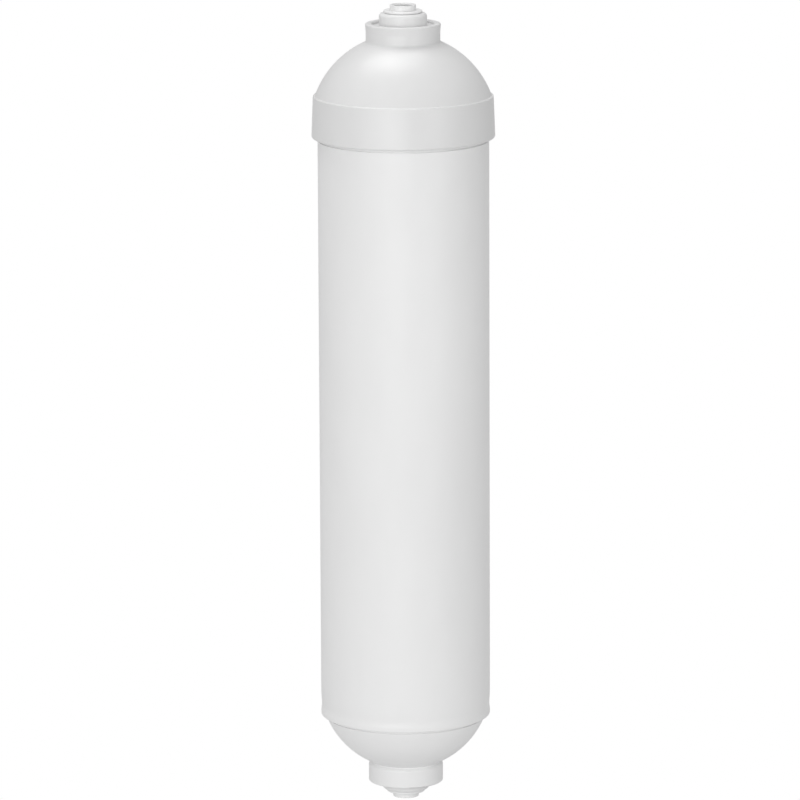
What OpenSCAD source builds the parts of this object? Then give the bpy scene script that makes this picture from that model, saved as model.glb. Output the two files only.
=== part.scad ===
// Inline water filter cartridge, nominal 10 in long, with 1/4 in push-fit ports.
// Origin on the axis at the middle of the straight tube wall. +Z towards the inlet.

/* [Body tube] */
// Outer radius of the tube
tube_r = 26.8; // [26:0.1:28]
// Wall thickness of the tube
tube_wall = 2.8; // [2.6:0.1:3]
// Length of straight tube wall below the cap skirt
straight_l = 170; // [150:1:230]
// Length of the shallow sink zone above the tube's lower edge
sink_l = 15; // [12:0.5:16]
// Depth of the sink
sink_d = 0.2; // [0:0.05:0.3]
// Rounding of the tube's lower edge
edge_round = 0.2; // [0.1:0.1:0.4]
// Height of the grooves under the cap skirt and under the tube's lower edge
groove_l = 0.95; // [0.7:0.05:1]
// Depth of the two grooves
groove_d = 0.5; // [0.3:0.05:0.6]

/* [Base dome] */
// Outer radius of the base dome
base_dome_r = 27.15; // [27:0.05:27.3]
// Height of the dome's centre above the tube's lower edge
base_dome_rise = 9.2; // [8.8:0.1:9.6]
// Radius of the outlet ring
base_ring_r = 11.8; // [11.7:0.05:12]
// Height of the outlet ring
base_ring_h = 6.4; // [6.3:0.1:6.8]
// Rounding of the ring's upper edge, beside the dome
base_ring_round = 1.2; // [0.8:0.1:1.2]
// Fillet between the ring's upper edge and the dome
base_ring_fillet = 0.35; // [0.2:0.05:0.5]
// Distance from the tube's lower edge to the outlet rim
base_drop = 22.2; // [22:0.1:22.6]

/* [End cap] */
// Height of the cap skirt
skirt_h = 13.1; // [12:0.1:15]
// Radius of the skirt at its top edge
skirt_top_r = 28.2; // [28.15:0.05:28.5]
// Radius of the skirt at its bottom edge
skirt_bot_r = 28.7; // [28.5:0.05:29]
// Rounding of the skirt's top edge
skirt_top_round = 0.4; // [0.2:0.05:0.4]
// Fillet where the dome meets the skirt's ledge
ledge_fillet = 0.3; // [0.2:0.05:0.3]
// Rounding of the skirt's bottom edge
skirt_bot_round = 0.6; // [0.4:0.1:1]
// Outer radius of the cap dome
cap_dome_r = 29.35; // [29.3:0.05:29.4]
// Distance of the dome's centre below the skirt top
cap_dome_drop = 10.1; // [9.9:0.1:10.3]
// Wall thickness of the cap dome
cap_wall = 3; // [2.8:0.1:3.2]
// Radius of the inlet neck
cap_neck_r = 11.62; // [11.5:0.01:11.8]
// How much the inlet neck widens at its rim
cap_neck_flare = 0.18; // [0:0.02:0.3]
// Fillet between the inlet neck and the dome
cap_neck_fillet = 0.8; // [0.6:0.1:1.6]
// Distance from the skirt top to the inlet rim
cap_rise = 22.7; // [22:0.1:23]

/* [Push-fit ports] */
// How far the inlet insert stands out of its rim
inlet_proud = 3.3; // [3:0.1:3.6]
// How far the outlet insert stands out of its rim
outlet_proud = 2.75; // [2.5:0.05:3.1]
// Radius of the insert's head
insert_head_r = 7.5; // [7.3:0.05:7.7]
// Radius of the insert's pressed barrel
insert_barrel_r = 6.9; // [6.8:0.05:7]
// Rounding of the insert's shoulder
insert_round = 1.2; // [0.5:0.1:1.2]
// Radius of the recess around the insert
recess_r = 9.8; // [9.5:0.05:10.2]
// Depth of the recess below the insert's face
recess_l = 4.2; // [4.1:0.1:5]
// Radius of the collet's bore, for a 6.35 mm tube
tube_bore_r = 3.25; // [3.22:0.01:3.28]
// Radius of the collet's mouth
collet_mouth_r = 4.1; // [4:0.05:4.2]
// Radius of the collet's flange
collet_flange_r = 6.05; // [5.8:0.05:6.1]
// Thickness of the collet's flange
flange_t = 0.7; // [0.4:0.05:0.8]
// How far the collet's mouth stands out of the insert
collet_proud = 2.5; // [2.2:0.05:2.7]
// Travel of the collet from pressed in to locked
collet_travel = 1.5; // [1.2:0.1:1.6]

/* [Filter block] */
// Outer radius of the carbon block
block_r = 20.3; // [19.5:0.1:20.4]
// Radius of the block's core
core_r = 6; // [5.8:0.1:6.4]
// Thickness of the non-woven sediment wrap
wrap_t = 0.6; // [0.5:0.1:0.7]
// Thickness of the outer netting
net_t = 0.6; // [0.5:0.1:0.6]

/* [Hidden] */
$fn = 120;
eps = 0.5;

// Levels along the axis
z_skirt = straight_l / 2;
z_ledge = z_skirt + skirt_h;
z_in_rim = z_ledge + cap_rise;
z_in_face = z_in_rim + inlet_proud;
z_sink = -straight_l / 2;
z_edge = z_sink - sink_l;
z_out_rim = z_edge - base_drop;
z_out_face = z_out_rim - outlet_proud;
z_cap_c = z_ledge - cap_dome_drop;
z_base_c = z_edge + base_dome_rise;

// Inside of the housing
in_r = tube_r - tube_wall;
weld_r = tube_r - 0.3;
weld_step = 2.1;
z_weld = z_ledge - weld_step;
cap_in_r = cap_dome_r - cap_wall;
boss_r = 8.2;

// Levels inside a port, measured from the insert's face, outwards positive
recess_z = -recess_l;
insert_z = -9.6;
seat_z = -11;
gland_z = -13.4;
stop_z = -15.2;
boss_z = -17.2;
mouth_l = 2.2;
cone_z = -6;
cavity_r = 5.75;
gland_r = 4.97;
stop_r = 3.3;
flow_r = 2.2;
o_ring_r = 4;
o_ring_t = 0.93;

// Collet
barrel_r = 4.5;
mouth_r = barrel_r + 0.06;
flange_gap = 0.1;
leg_z = -3.2;
leg_r = barrel_r - 0.05;
leg_in_r = 3.5;
slot_w = 1.1;
slot_z = -3.2;
head_slope = (cavity_r - mouth_r) / (-cone_z - mouth_l);
head_gap = 0.1;
head_z = -6.4;
head_end_z = -7.9;
head_start_z = -mouth_l - collet_travel - (head_gap - (mouth_r - leg_r)) / head_slope;
head_r = mouth_r + (-head_z - mouth_l - collet_travel) * head_slope - head_gap;
tooth_n = 4;
tooth_arc = 42;

// Spigot socket in the base
socket_r = 5.75;
socket_top_z = -100;
socket_end_z = -105;
spigot_r = 5.2;
spigot_bore_r = 2.8;
spigot_end_z = -104.2;
groove_z = -102.4;
groove_h = 1.7;
groove_r = 4.2;
spigot_ring_r = 4.98;
spigot_ring_t = 0.75;

// Filter block
wrap_r = block_r + wrap_t;
net_r = wrap_r + net_t;
core_wrap_t = 0.4;
core_screen_t = 1.1;
glue_t = 0.8;
disc_t = 2.4;
lip_h = 7;
lip_r = 22.7;
lip_in_r = 21.65;
rib_r = 23.75;
rib_t = 1.6;
z_block_top = 86;
z_block_bot = -93;
screen_hole_r = 1.2;
screen_rows = 11;
screen_pitch = 15;

// Flat shapes in the half plane of a revolved profile
module band(r0, r1, z0, z1) {
    translate([r0, z0])
        square([r1 - r0, z1 - z0]);
}

module rounded_band(r0, r1, z0, z1, f_top, f_bot) {
    difference() {
        band(r0, r1, z0, z1);
        band(r1 - f_top, r1 + eps, z1 - f_top, z1 + eps);
        band(r1 - f_bot, r1 + eps, z0 - eps, z0 + f_bot);
    }
    translate([r1 - f_top, z1 - f_top])
        circle(r = f_top);
    translate([r1 - f_bot, z0 + f_bot])
        circle(r = f_bot);
}

// Half disc of a dome between two levels
module dome_slice(r, zc, z0, z1) {
    intersection() {
        translate([0, zc])
            circle(r = r, $fn = 240);
        band(0, r + 1, z0, z1);
    }
}

// Distance from a dome's centre to the centre of the fillet where a neck leaves it
function fillet_level(rn, f, rd) = sqrt(pow(rd + f, 2) - pow(rn + f, 2));

// Stock that joins a neck to a dome before the fillet is cut, as a ring of points
function fillet_points(rn, f, rd, zf) = [
    [rn - 1, zf - f - 1],
    [rd / (rd + f) * (rn + f), rd / (rd + f) * zf],
    [rn + f, zf],
    [rn - 1, zf]
];

module fillet_cut(rn, f, z) {
    translate([rn + f, z])
        circle(r = f);
}

// The stepped bore of a port, from the insert's face inwards
module port_bore(z_end) {
    band(0, recess_r, recess_z, 12);
    band(0, insert_barrel_r, seat_z, recess_z + eps);
    band(0, gland_r, gland_z, seat_z + eps);
    band(0, stop_r, stop_z, gland_z + eps);
    band(0, flow_r, z_end, stop_z + eps);
}

// Places a port part, built with its face at zero, at either end
module at_inlet() {
    translate([0, 0, z_in_face])
        children();
}

module at_outlet() {
    translate([0, 0, z_out_face])
        mirror([0, 0, 1])
            children();
}

// Depth of the moulded sink at a share of its length, zero at both ends
function sink_at(t) = sink_d * pow(sin(180 * pow(t, 4.2)), 2);

function sink_points(n) = [for (i = [n : -1 : 0])
    [tube_r - sink_at(i / n), z_sink - (sink_l - 1) * i / n]];

// Outer outline of the tube, with its weld spigot, sink and rounded lower edge
module tube_wall_profile() {
    difference() {
        polygon(concat(
            [[0, z_edge], [tube_r, z_edge]],
            sink_points(28),
            [[tube_r, z_skirt], [weld_r, z_skirt], [weld_r, z_weld], [0, z_weld]]
        ));
        band(tube_r - edge_round, tube_r + eps, z_edge - eps, z_edge + edge_round);
        band(tube_r - groove_d, tube_r + eps, z_skirt - groove_l, z_skirt);
    }
    translate([tube_r - edge_round, z_edge + edge_round])
        circle(r = edge_round);
}

// Where a circle around a meets a circle around b, at the point further from the axis
function circle_meet(a, ra, b, rb) =
    let (d = norm(b - a), u = (b - a) / d, t = (ra * ra - rb * rb + d * d) / (2 * d))
    a + t * u + sqrt(ra * ra - t * t) * [-u[1], u[0]];

// Base dome with the groove under the tube's edge, and the outlet ring filleted to it
module base_profile() {
    shelf_r = sqrt(pow(base_dome_r, 2) - pow(base_dome_rise, 2));
    f = base_ring_fillet;
    dome_c = [0, z_base_c];
    edge_c = [base_ring_r - base_ring_round, z_out_rim + base_ring_h - base_ring_round];
    fillet_c = circle_meet(dome_c, base_dome_r + f, edge_c, base_ring_round + f);
    on_dome = dome_c + (fillet_c - dome_c) * base_dome_r / (base_dome_r + f);
    on_edge = edge_c + (fillet_c - edge_c) * base_ring_round / (base_ring_round + f);
    difference() {
        dome_slice(base_dome_r, z_base_c, z_base_c - base_dome_r, z_edge + eps);
        band(shelf_r - groove_d - 0.2, tube_r, z_edge - groove_l, z_edge);
    }
    rounded_band(0, base_ring_r, z_out_rim, z_out_rim + base_ring_h, base_ring_round, 0.4);
    difference() {
        polygon([[edge_c[0] - 1, edge_c[1]], edge_c, on_edge, on_dome, [edge_c[0] - 1, on_dome[1]]]);
        translate(fillet_c)
            circle(r = f);
    }
}

module housing_body() {
    color("white")
        rotate_extrude()
            difference() {
                union() {
                    tube_wall_profile();
                    base_profile();
                }
                difference() {
                    union() {
                        band(0, in_r, z_base_c, z_weld + eps);
                        dome_slice(in_r, z_base_c, z_base_c - in_r, z_base_c + eps);
                    }
                    band(0, boss_r, z_out_rim, socket_top_z);
                }
                band(0, socket_r, socket_end_z, socket_top_z + eps);
                translate([0, z_out_face])
                    mirror([0, 1])
                        port_bore(z_out_face - socket_end_z - eps);
            }
}

// Tapered skirt with a rounded top and bottom edge
module skirt_profile() {
    lean = (skirt_bot_r - skirt_top_r) / skirt_h;
    ft = skirt_top_round;
    fb = skirt_bot_round;
    difference() {
        polygon([
            [0, z_skirt], [skirt_bot_r, z_skirt],
            [skirt_top_r, z_ledge], [0, z_ledge]
        ]);
        band(skirt_top_r - ft, skirt_bot_r, z_ledge - ft, z_ledge + eps);
        band(skirt_bot_r - fb, skirt_bot_r + eps, z_skirt - eps, z_skirt + fb);
    }
    translate([skirt_top_r + lean * ft - ft, z_ledge - ft])
        circle(r = ft);
    translate([skirt_bot_r - lean * fb - fb, z_skirt + fb])
        circle(r = fb);
}

// Cap dome, inlet neck with its flared rim, and the fillet on the skirt's ledge
module cap_dome_profile() {
    rn = cap_neck_r;
    f = cap_neck_fillet;
    zf = fillet_level(rn, f, cap_dome_r);
    rl = sqrt(pow(cap_dome_r + ledge_fillet, 2) - pow(cap_dome_drop + ledge_fillet, 2));
    k = cap_dome_r / (cap_dome_r + ledge_fillet);
    difference() {
        union() {
            dome_slice(cap_dome_r, z_cap_c, z_ledge - eps, z_cap_c + cap_dome_r);
            band(0, rn, z_ledge + 10, z_in_rim - 1);
            rim_profile();
            translate([0, z_cap_c])
                polygon(fillet_points(rn, f, cap_dome_r, zf));
            polygon([
                [rl - 2, z_ledge - 0.2], [rl, z_ledge - 0.2], [rl, z_ledge],
                [k * rl, z_cap_c + k * (cap_dome_drop + ledge_fillet)],
                [rl - 2, z_cap_c + k * (cap_dome_drop + ledge_fillet)]
            ]);
        }
        fillet_cut(rn, f, z_cap_c + zf);
        translate([rl, z_ledge + ledge_fillet])
            circle(r = ledge_fillet);
    }
}

// Rim of the inlet neck, a little wider than the neck, with both its edges eased
module rim_profile() {
    rt = cap_neck_r + cap_neck_flare;
    f = 0.5;
    difference() {
        polygon([
            [0, z_in_rim - 2.6], [cap_neck_r, z_in_rim - 2.6],
            [rt, z_in_rim - f], [rt, z_in_rim], [0, z_in_rim]
        ]);
        band(rt - f, rt + eps, z_in_rim - f, z_in_rim + eps);
        polygon([
            [recess_r - eps, z_in_rim - 0.3 - eps], [recess_r + 0.3 + eps, z_in_rim + eps],
            [recess_r - eps, z_in_rim + eps]
        ]);
    }
    translate([rt - f, z_in_rim - f])
        circle(r = f);
}

module end_cap() {
    color("white")
        rotate_extrude()
            difference() {
                union() {
                    skirt_profile();
                    cap_dome_profile();
                }
                band(0, tube_r, z_skirt - eps, z_skirt);
                band(0, weld_r, z_skirt - eps, z_weld);
                difference() {
                    dome_slice(cap_in_r, z_cap_c, z_weld - eps, z_cap_c + cap_in_r);
                    band(0, boss_r, z_in_face + boss_z, z_in_rim);
                }
                translate([0, z_in_face])
                    port_bore(boss_z - eps);
            }
}

// Port parts, each built once and placed at both ends
module port_insert() {
    color("white")
        rotate_extrude()
            difference() {
                union() {
                    rounded_band(0, insert_head_r, recess_z, 0, insert_round, 0.1);
                    band(0, insert_barrel_r, insert_z, recess_z + eps);
                }
                band(0, mouth_r, -mouth_l - eps, eps);
                polygon([
                    [0, -mouth_l], [mouth_r, -mouth_l],
                    [cavity_r, cone_z], [0, cone_z]
                ]);
                band(0, cavity_r, insert_z - eps, cone_z);
            }
}

module tooth_profile(grow) {
    polygon([
        [3.02 - grow, -7.45 - grow], [3.95 + grow, -6.72 - grow],
        [4.35 + grow, -6.72 - grow], [4.35 + grow, -6.42 + grow],
        [3.85 - grow, -6.42 + grow], [2.98 - grow, -7.2]
    ]);
}

module tooth_set(grow) {
    for (i = [0 : tooth_n - 1])
        rotate([0, 0, 360 * i / tooth_n + 45 - tooth_arc / 2 - 20 * grow])
            rotate_extrude(angle = tooth_arc + 40 * grow)
                tooth_profile(grow);
}

module collet() {
    color("white")
        difference() {
            rotate_extrude()
                difference() {
                    union() {
                        rounded_band(0, collet_mouth_r, 0, collet_proud, 0.2, 0.1);
                        rounded_band(0, collet_flange_r, flange_gap, flange_gap + flange_t, 0.25, 0.1);
                        band(0, barrel_r, slot_z, flange_gap + 0.2);
                        polygon([
                            [0, head_end_z], [head_r, head_end_z], [head_r, head_z],
                            [leg_r, head_start_z], [leg_r, slot_z + eps], [0, slot_z + eps]
                        ]);
                    }
                    band(0, tube_bore_r, leg_z, collet_proud + eps);
                    band(0, leg_in_r, head_end_z - eps, leg_z);
                    polygon([
                        [0, collet_proud - 0.45], [tube_bore_r, collet_proud - 0.45],
                        [tube_bore_r + 0.4, collet_proud], [tube_bore_r + 0.4, collet_proud + eps],
                        [0, collet_proud + eps]
                    ]);
                }
            for (i = [0 : 1])
                rotate([0, 0, 90 * i])
                    translate([-10, -slot_w / 2, head_end_z - 1])
                        cube([20, slot_w, slot_z - head_end_z + 1]);
            tooth_set(0.02);
        }
}

module port_o_ring() {
    color("dimgray")
        translate([0, 0, (seat_z + gland_z) / 2])
            rotate_extrude()
                translate([o_ring_r, 0])
                    circle(r = o_ring_t);
}

module port_spacer() {
    color("gainsboro")
        rotate_extrude()
            difference() {
                band(stop_r + 0.05, insert_barrel_r - 0.05, seat_z, insert_z);
                polygon([
                    [0, insert_z + 0.1], [stop_r + 0.6, insert_z + 0.1],
                    [stop_r + 0.05, insert_z - 0.5], [0, insert_z - 0.5]
                ]);
            }
}

module inlet_port_insert() { at_inlet() port_insert(); }
module inlet_collet() { at_inlet() collet(); }
module inlet_grip_teeth() { at_inlet() color("silver") tooth_set(0); }
module inlet_o_ring() { at_inlet() port_o_ring(); }
module inlet_spacer_ring() { at_inlet() port_spacer(); }
module outlet_port_insert() { at_outlet() port_insert(); }
module outlet_collet() { at_outlet() collet(); }
module outlet_grip_teeth() { at_outlet() color("silver") tooth_set(0); }
module outlet_o_ring() { at_outlet() port_o_ring(); }
module outlet_spacer_ring() { at_outlet() port_spacer(); }

// Filter block
module sleeve(r0, r1, z0, z1) {
    rotate_extrude()
        band(r0, r1, z0, z1);
}

module carbon_block() {
    color("dimgray")
        sleeve(core_r, block_r, z_block_bot, z_block_top);
}

module sediment_wrap() {
    color("whitesmoke")
        sleeve(block_r, wrap_r, z_block_bot, z_block_top);
}

module outer_netting() {
    color("gainsboro")
        sleeve(wrap_r, net_r, z_block_bot, z_block_top);
}

module core_wrap() {
    color("whitesmoke")
        sleeve(core_r - core_wrap_t, core_r, z_block_bot, z_block_top);
}

module core_screen() {
    screen_r = core_r - core_wrap_t;
    color("lightgray")
        difference() {
            sleeve(screen_r - core_screen_t, screen_r, z_block_bot, z_block_top);
            for (j = [0 : screen_rows - 1], a = [0, 90])
                translate([0, 0, (z_block_top + z_block_bot) / 2 + (j - (screen_rows - 1) / 2) * screen_pitch])
                    rotate([0, 0, a + 45 * (j % 2)])
                        rotate([90, 0, 0])
                            cylinder(r = screen_hole_r, h = 20, center = true, $fn = 24);
        }
}

module inlet_cap_adhesive() {
    color("ivory")
        sleeve(core_r, net_r, z_block_top, z_block_top + glue_t);
}

module outlet_cap_adhesive() {
    color("ivory")
        sleeve(core_r, net_r, z_block_bot - glue_t, z_block_bot);
}

// Cap that closes the inlet end, with upright fins that keep it off the dome
module block_inlet_cap() {
    z0 = z_block_top + glue_t;
    color("whitesmoke") {
        difference() {
            union() {
                rotate_extrude()
                    rounded_band(0, lip_r, z0 - lip_h, z0 + disc_t, 0.8, 0.2);
                for (i = [0 : 3])
                    rotate([0, 0, 90 * i + 45])
                        translate([10, -rib_t / 2, z0 + disc_t - 0.5])
                            cube([8, rib_t, 14]);
                for (i = [0 : 3])
                    rotate([0, 0, 90 * i + 45])
                        translate([20, -rib_t / 2, z0 - lip_h])
                            cube([rib_r - 20, rib_t, 6]);
            }
            translate([0, 0, z0 - lip_h - 1])
                cylinder(r = lip_in_r, h = lip_h + 1);
        }
        translate([0, 0, z_block_top - 6])
            cylinder(r = core_r - core_wrap_t - core_screen_t - 0.1, h = 6 + glue_t + 0.5);
    }
}

// Cap with the outlet spigot, its ribs centre the block in the tube
module block_outlet_cap() {
    z0 = z_block_bot - glue_t;
    color("whitesmoke")
        difference() {
            union() {
                rotate_extrude()
                    rounded_band(0, lip_r, z0 - disc_t, z0 + lip_h, 0.2, 1.2);
                for (i = [0 : 3])
                    rotate([0, 0, 90 * i + 45])
                        translate([20, -rib_t / 2, z0 + lip_h - 5])
                            cube([rib_r - 20, rib_t, 5]);
                rotate_extrude()
                    difference() {
                        rounded_band(0, spigot_r, spigot_end_z, z0 - disc_t + eps, 0.1, 0.4);
                        band(groove_r, spigot_r + eps, groove_z - groove_h / 2, groove_z + groove_h / 2);
                    }
            }
            translate([0, 0, z0])
                cylinder(r = lip_in_r, h = lip_h + 1);
            translate([0, 0, spigot_end_z - 1])
                cylinder(r = spigot_bore_r, h = 20);
        }
}

module spigot_o_ring() {
    color("dimgray")
        translate([0, 0, groove_z])
            rotate_extrude()
                translate([spigot_ring_r, 0])
                    circle(r = spigot_ring_t);
}

housing_body();
end_cap();
inlet_port_insert();
inlet_collet();
inlet_grip_teeth();
inlet_o_ring();
inlet_spacer_ring();
outlet_port_insert();
outlet_collet();
outlet_grip_teeth();
outlet_o_ring();
outlet_spacer_ring();
carbon_block();
sediment_wrap();
outer_netting();
core_wrap();
core_screen();
inlet_cap_adhesive();
outlet_cap_adhesive();
block_inlet_cap();
block_outlet_cap();
spigot_o_ring();
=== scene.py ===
import math

import bpy
from mathutils import Matrix, Vector


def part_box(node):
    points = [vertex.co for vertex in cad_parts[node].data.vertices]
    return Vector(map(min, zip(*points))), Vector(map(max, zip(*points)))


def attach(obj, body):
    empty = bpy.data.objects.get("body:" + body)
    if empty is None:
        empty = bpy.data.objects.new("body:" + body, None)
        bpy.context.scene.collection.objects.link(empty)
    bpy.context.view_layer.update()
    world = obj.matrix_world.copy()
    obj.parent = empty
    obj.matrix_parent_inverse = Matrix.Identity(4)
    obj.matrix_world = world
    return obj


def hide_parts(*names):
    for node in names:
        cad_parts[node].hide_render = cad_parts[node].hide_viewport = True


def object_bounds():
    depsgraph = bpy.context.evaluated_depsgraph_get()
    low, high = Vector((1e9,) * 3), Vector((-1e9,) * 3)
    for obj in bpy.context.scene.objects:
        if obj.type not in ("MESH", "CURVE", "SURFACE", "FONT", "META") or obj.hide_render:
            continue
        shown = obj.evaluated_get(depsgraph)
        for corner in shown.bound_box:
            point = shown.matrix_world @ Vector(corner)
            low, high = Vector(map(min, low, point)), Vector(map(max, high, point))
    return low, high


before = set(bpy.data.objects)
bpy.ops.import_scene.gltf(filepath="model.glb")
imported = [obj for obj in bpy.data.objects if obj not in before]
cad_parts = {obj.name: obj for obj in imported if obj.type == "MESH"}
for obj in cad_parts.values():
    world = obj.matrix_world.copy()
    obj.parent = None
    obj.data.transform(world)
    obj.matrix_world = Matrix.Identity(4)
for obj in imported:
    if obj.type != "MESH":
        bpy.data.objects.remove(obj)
cad_low, cad_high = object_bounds()
scene = bpy.context.scene
MM = 0.001
WHITE = (1, 1, 1, 1)


# ---------------------------------------------------------------- materials
class Nodes:
    """A material's node tree, with short calls to add and join nodes."""

    def __init__(self, name):
        self.mat = bpy.data.materials.new(name)
        self.mat.use_nodes = True
        self.tree = self.mat.node_tree
        self.bsdf = self.tree.nodes["Principled BSDF"]
        self.out = self.tree.nodes["Material Output"]

    def add(self, kind, **sockets):
        node = self.tree.nodes.new(kind)
        for key, value in sockets.items():
            node.inputs[key].default_value = value
        return node

    def join(self, a, b):
        self.tree.links.new(a, b)

    def coords(self, scale=(1, 1, 1)):
        """Object coordinates, in metres, scaled along each axis."""
        where = self.add("ShaderNodeTexCoord")
        mapping = self.add("ShaderNodeMapping", Scale=scale)
        self.join(where.outputs["Object"], mapping.inputs["Vector"])
        return mapping.outputs["Vector"]

    def noise(self, scale, detail=3.0, rough=0.5, stretch=(1, 1, 1)):
        node = self.add("ShaderNodeTexNoise", Scale=scale, Detail=detail, Roughness=rough)
        self.join(self.coords(stretch), node.inputs["Vector"])
        return node.outputs["Fac"]

    def ramp(self, fac, low, high, at=(0.0, 1.0)):
        """Blends from one colour to another as fac goes between two positions."""
        node = self.add("ShaderNodeValToRGB")
        for end, position, colour in zip(node.color_ramp.elements, at, (low, high)):
            end.position = position
            end.color = (*colour, 1)
        self.join(fac, node.inputs["Fac"])
        return node.outputs["Color"]

    def span(self, fac, low, high, at=(0.0, 1.0)):
        """Blends from one number to another as fac goes between two positions."""
        node = self.add("ShaderNodeMapRange")
        for key, value in zip(("From Min", "From Max", "To Min", "To Max"), (*at, low, high)):
            node.inputs[key].default_value = value
        self.join(fac, node.inputs["Value"])
        return node.outputs["Result"]

    def bump(self, height, distance, strength=1.0, under=None):
        node = self.add("ShaderNodeBump", Strength=strength, Distance=distance)
        self.join(height, node.inputs["Height"])
        if under is not None:
            self.join(under, node.inputs["Normal"])
        return node.outputs["Normal"]

    def dress(self, colour, roughness, normal):
        """Joins the three textured sockets of the shader and gives the material."""
        self.join(colour, self.bsdf.inputs["Base Color"])
        self.join(roughness, self.bsdf.inputs["Roughness"])
        self.join(normal, self.bsdf.inputs["Normal"])
        return self.mat


def moulded(name, tone, rough, seed=0):
    """White moulded plastic: faint cloudiness, long soft flow waves and a fine skin."""
    m = Nodes(name)
    darker = tuple(c * 0.975 for c in tone)
    lighter = tuple(c * 1.02 for c in tone)
    along_axis = (1, 1, 0.45)
    colour = m.ramp(m.noise(38 + seed, 4.0, 0.55, along_axis), darker, lighter, (0.3, 0.72))
    roughness = m.span(m.noise(70 + seed, 2.0, 0.45), rough - 0.02, rough + 0.03, (0.3, 0.7))
    waves = m.bump(m.noise(55 + seed, 2.0, 0.4, (1, 1, 0.3)), 0.02 * MM)
    skin = m.bump(m.noise(2600, 2.0, 0.5), 0.006 * MM, 0.6, waves)
    return m.dress(colour, roughness, skin)


def steel(name):
    m = Nodes(name)
    brushed = m.noise(900, 3.0, 0.6, (1, 1, 8))
    m.bsdf.inputs["Metallic"].default_value = 1.0
    return m.dress(m.ramp(brushed, (0.5, 0.5, 0.51), (0.68, 0.68, 0.69)),
                   m.span(brushed, 0.22, 0.38),
                   m.bump(brushed, 0.01 * MM))


def rubber(name):
    m = Nodes(name)
    grain = m.noise(1500, 4.0, 0.6)
    return m.dress(m.ramp(grain, (0.012, 0.012, 0.012), (0.035, 0.035, 0.036)),
                   m.span(grain, 0.4, 0.6),
                   m.bump(grain, 0.02 * MM))


def carbon(name):
    """Sintered carbon: packed grains with open pores between them."""
    m = Nodes(name)
    cells = m.add("ShaderNodeTexVoronoi", Scale=1400.0)
    m.join(m.coords(), cells.inputs["Vector"])
    grain = m.noise(2600, 5.0, 0.65)
    pores = m.bump(cells.outputs["Distance"], 0.3 * MM, 0.8)
    return m.dress(m.ramp(grain, (0.006, 0.006, 0.006), (0.045, 0.045, 0.047), (0.3, 0.75)),
                   m.span(grain, 0.6, 0.95),
                   m.bump(grain, 0.1 * MM, 0.6, pores))


def felt(name):
    """Non-woven fibre: two noises, streaked along the axis and across it, multiplied."""
    m = Nodes(name)
    across = m.noise(500, 6.0, 0.7, (1, 1, 5))
    along = m.noise(500, 6.0, 0.7, (4, 4, 1))
    fibres = m.add("ShaderNodeMath")
    fibres.operation = "MULTIPLY"
    m.join(across, fibres.inputs[0])
    m.join(along, fibres.inputs[1])
    m.bsdf.inputs["Sheen Weight"].default_value = 0.3
    web = fibres.outputs[0]
    return m.dress(m.ramp(web, (0.68, 0.68, 0.66), (0.9, 0.9, 0.88), (0.12, 0.42)),
                   m.span(across, 0.85, 1.0),
                   m.bump(web, 0.3 * MM, 0.9))


def glue(name):
    m = Nodes(name)
    blobs = m.noise(220, 3.0, 0.5)
    m.bsdf.inputs["Subsurface Weight"].default_value = 0.2
    m.bsdf.inputs["Subsurface Scale"].default_value = 2 * MM
    return m.dress(m.ramp(blobs, (0.72, 0.64, 0.46), (0.86, 0.8, 0.62)),
                   m.span(blobs, 0.25, 0.45),
                   m.bump(blobs, 0.3 * MM))


def paint(mat, *nodes):
    """Gives CAD nodes their material."""
    for node in nodes:
        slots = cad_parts[node].data.materials
        slots.clear()
        slots.append(mat)


def both_ends(part):
    return "inlet_" + part, "outlet_" + part


def paint_all():
    paint(moulded("housing_pp", (0.80, 0.80, 0.80), 0.36), "housing_body")
    # The cap's tone is set lower than the housing's as painted shade: it stands in for the
    # dimmer light that falls on the top end and its neck.
    paint(moulded("cap_pp_painted_shade", (0.715, 0.715, 0.715), 0.32, seed=7), "end_cap")
    paint(moulded("insert_pp", (0.76, 0.76, 0.76), 0.38, seed=13), *both_ends("port_insert"))
    paint(moulded("collet_acetal", (0.80, 0.80, 0.80), 0.36, seed=21), *both_ends("collet"))
    paint(moulded("spacer_pp", (0.66, 0.66, 0.65), 0.45, seed=37), *both_ends("spacer_ring"))
    paint(moulded("inner_pp", (0.72, 0.72, 0.70), 0.45, seed=31),
          "core_screen", "block_inlet_cap", "block_outlet_cap")
    paint(steel("tooth_steel"), *both_ends("grip_teeth"))
    paint(rubber("seal_rubber"), *both_ends("o_ring"), "spigot_o_ring")
    paint(glue("hot_melt"), *both_ends("cap_adhesive"))
    paint(carbon("sintered_carbon"), "carbon_block")
    paint(felt("nonwoven"), "sediment_wrap", "core_wrap")


# ---------------------------------------------------------------- netting
STRANDS = 14            # in each of the two crossed layers
STRAND_TURNS = 1.5      # around the block, from end to end
STRAND_STEPS = 150
STRAND_SIDES = 6
STRAND_HALF_T = 0.18 * MM
STRAND_HALF_W = 0.5 * MM
STRAND_MARGIN = 0.03 * MM


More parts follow.
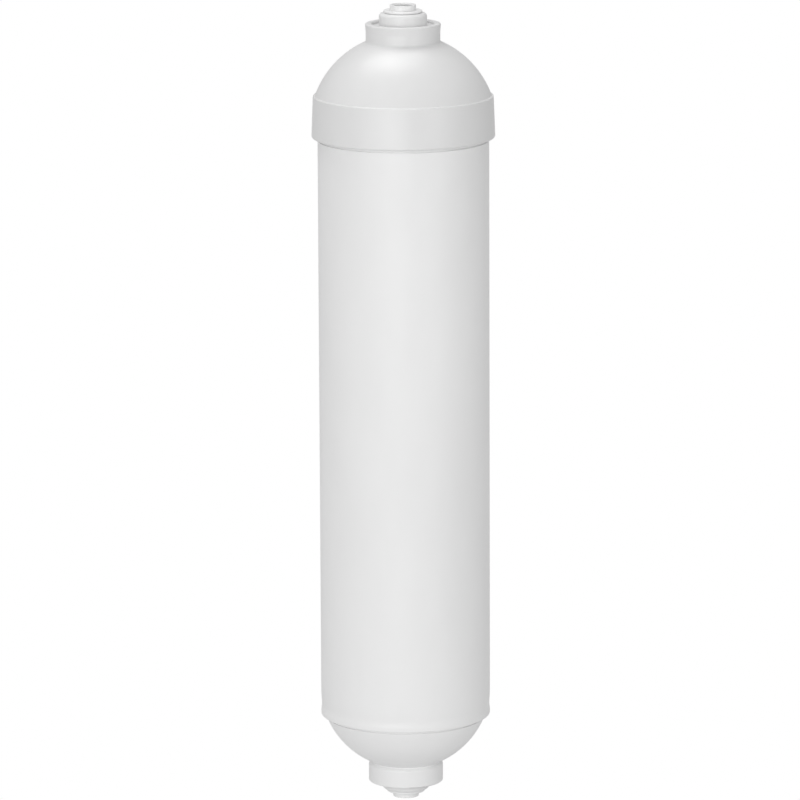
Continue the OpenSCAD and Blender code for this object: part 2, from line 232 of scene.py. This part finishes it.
def helix_strand(radius, z0, z1, start, turn):
    """One closed strand of flat oval section, wound from z0 to z1 at the given radius."""
    corners = [2 * math.pi * k / STRAND_SIDES for k in range(STRAND_SIDES)]
    verts, faces = [], []
    for i in range(STRAND_STEPS + 1):
        t = i / STRAND_STEPS
        z = z0 + STRAND_HALF_W + (z1 - z0 - 2 * STRAND_HALF_W) * t
        for corner in corners:
            r = radius + STRAND_HALF_T * math.cos(corner)
            a = start + turn * t + STRAND_HALF_W * math.sin(corner) / radius
            verts.append((r * math.cos(a), r * math.sin(a), z))
    for ring in range(0, STRAND_STEPS * STRAND_SIDES, STRAND_SIDES):
        for k in range(STRAND_SIDES):
            after = (k + 1) % STRAND_SIDES
            faces.append((ring + k, ring + after,
                          ring + STRAND_SIDES + after, ring + STRAND_SIDES + k))
    last = STRAND_STEPS * STRAND_SIDES
    faces.append(tuple(reversed(range(STRAND_SIDES))))
    faces.append(tuple(range(last, last + STRAND_SIDES)))
    return verts, faces


def netting():
    """Extruded diamond netting: two layers of strands crossed and pressed into each other."""
    low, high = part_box("outer_netting")
    wrap_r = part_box("sediment_wrap")[1].x
    inset = STRAND_HALF_T + STRAND_MARGIN
    verts, faces = [], []
    for radius, way in ((wrap_r + inset, 1), (high.x - inset, -1)):
        for k in range(STRANDS):
            v, f = helix_strand(radius, low.z, high.z, 2 * math.pi * k / STRANDS,
                                way * 2 * math.pi * STRAND_TURNS)
            faces += [tuple(i + len(verts) for i in face) for face in f]
            verts += v
    mesh = bpy.data.meshes.new("netting_mesh")
    mesh.from_pydata(verts, [], faces)
    mesh.update()
    mesh.shade_smooth()
    mesh.materials.append(moulded("netting_pe", (0.74, 0.75, 0.75), 0.42, seed=43))
    net = bpy.data.objects.new("netting_mesh", mesh)
    scene.collection.objects.link(net)
    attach(net, "housing")
    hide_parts("outer_netting")


# ---------------------------------------------------------------- camera
CAMERA_DISTANCE = 1.925
CAMERA_ELEVATION = math.radians(11.507)
CAMERA_ROLL = math.radians(-0.24)
CAMERA_TARGET = Vector((-1.40 * MM, 0, 1.15 * MM))
SENSOR_MM = 36.0
# Focal length as a multiple of the sensor's width
FOCAL_RATIO = 7.6425


def camera():
    data = bpy.data.cameras.new("camera")
    data.sensor_width = SENSOR_MM
    data.lens = FOCAL_RATIO * SENSOR_MM
    data.clip_start = 0.05
    data.clip_end = 50
    back = Vector((0, -math.cos(CAMERA_ELEVATION), math.sin(CAMERA_ELEVATION)))
    facing = back.to_track_quat("Z", "Y").to_matrix().to_4x4()
    obj = bpy.data.objects.new("camera", data)
    scene.collection.objects.link(obj)
    obj.matrix_world = (Matrix.Translation(CAMERA_TARGET + back * CAMERA_DISTANCE)
                        @ facing @ Matrix.Rotation(CAMERA_ROLL, 4, "Z"))
    scene.camera = obj


# ---------------------------------------------------------------- floor and light
# The filter hangs in its clip, clear of the floor, so the outlet collet has room to slide out
FLOOR_GAP = 20 * MM
FLOOR_SIZE = 30
FLOOR_TONE = (0.4, 0.4, 0.4, 1)
FLOOR_GLOW = 0.27
ROOM_FILL = 0.47
LIGHT_DISTANCE = 1.8

# Name, azimuth and elevation in degrees, power in watts, side in metres. Azimuth 0 is the
# camera's side, positive to its right.
LIGHTS = (
    ("front", -10, 5, 10.2, 1.0),
    ("front_left", -35, 5, 5.5, 1.0),
    ("front_right", 40, 5, 5.1, 1.0),
    ("left_high", -120, 65, 4.6, 0.7),
    ("left_top", -90, 80, 2.8, 0.7),
    ("overhead", 180, 80, 8.2, 1.0),
    ("back", 180, 12, 6.5, 1.0),
)


def white_table(name):
    """White light table: pure white where it is seen, with a soft glow and bounce from below."""
    m = Nodes(name)
    m.bsdf.inputs["Base Color"].default_value = FLOOR_TONE
    m.bsdf.inputs["Roughness"].default_value = 0.95
    m.bsdf.inputs["Emission Color"].default_value = WHITE
    m.bsdf.inputs["Emission Strength"].default_value = FLOOR_GLOW
    rays = m.add("ShaderNodeLightPath")
    white = m.add("ShaderNodeEmission", Color=WHITE, Strength=1.0)
    mix = m.add("ShaderNodeMixShader")
    m.join(rays.outputs["Is Camera Ray"], mix.inputs["Fac"])
    m.join(m.bsdf.outputs["BSDF"], mix.inputs[1])
    m.join(white.outputs["Emission"], mix.inputs[2])
    m.join(mix.outputs["Shader"], m.out.inputs["Surface"])
    return m.mat


def floor():
    level = cad_low[2] - FLOOR_GAP
    bpy.ops.mesh.primitive_plane_add(size=FLOOR_SIZE, location=(0, 0, level))
    plane = bpy.context.object
    plane.name = "floor"
    plane.data.materials.append(white_table("sweep_paper"))


def room():
    """White surroundings: pure white where they are seen, and an even fill on the object."""
    scene.world = bpy.data.worlds.new("world")
    scene.world.use_nodes = True
    tree = scene.world.node_tree
    fill = tree.nodes["Background"]
    seen = tree.nodes.new("ShaderNodeBackground")
    rays = tree.nodes.new("ShaderNodeLightPath")
    mix = tree.nodes.new("ShaderNodeMixShader")
    for background, strength in ((fill, ROOM_FILL), (seen, 1.0)):
        background.inputs["Color"].default_value = WHITE
        background.inputs["Strength"].default_value = strength
    tree.links.new(rays.outputs["Is Camera Ray"], mix.inputs["Fac"])
    tree.links.new(fill.outputs["Background"], mix.inputs[1])
    tree.links.new(seen.outputs["Background"], mix.inputs[2])
    tree.links.new(mix.outputs["Shader"], tree.nodes["World Output"].inputs["Surface"])


def softbox(name, azimuth, elevation, power, side):
    """Square soft light aimed at the origin."""
    data = bpy.data.lights.new(name, "AREA")
    data.energy = power
    data.size = side
    a, e = math.radians(azimuth), math.radians(elevation)
    way = Vector((math.sin(a) * math.cos(e), -math.cos(a) * math.cos(e), math.sin(e)))
    obj = bpy.data.objects.new(name, data)
    obj.location = way * LIGHT_DISTANCE
    obj.rotation_euler = way.to_track_quat("Z", "Y").to_euler()
    scene.collection.objects.link(obj)
    return obj


def lights():
    for values in LIGHTS:
        light = softbox(*values)
    # The last one, at the back, would glare on every flat rim that is seen at a low angle
    light.visible_glossy = False


paint_all()
netting()
camera()
floor()
room()
lights()
scene.view_settings.view_transform = "Standard"
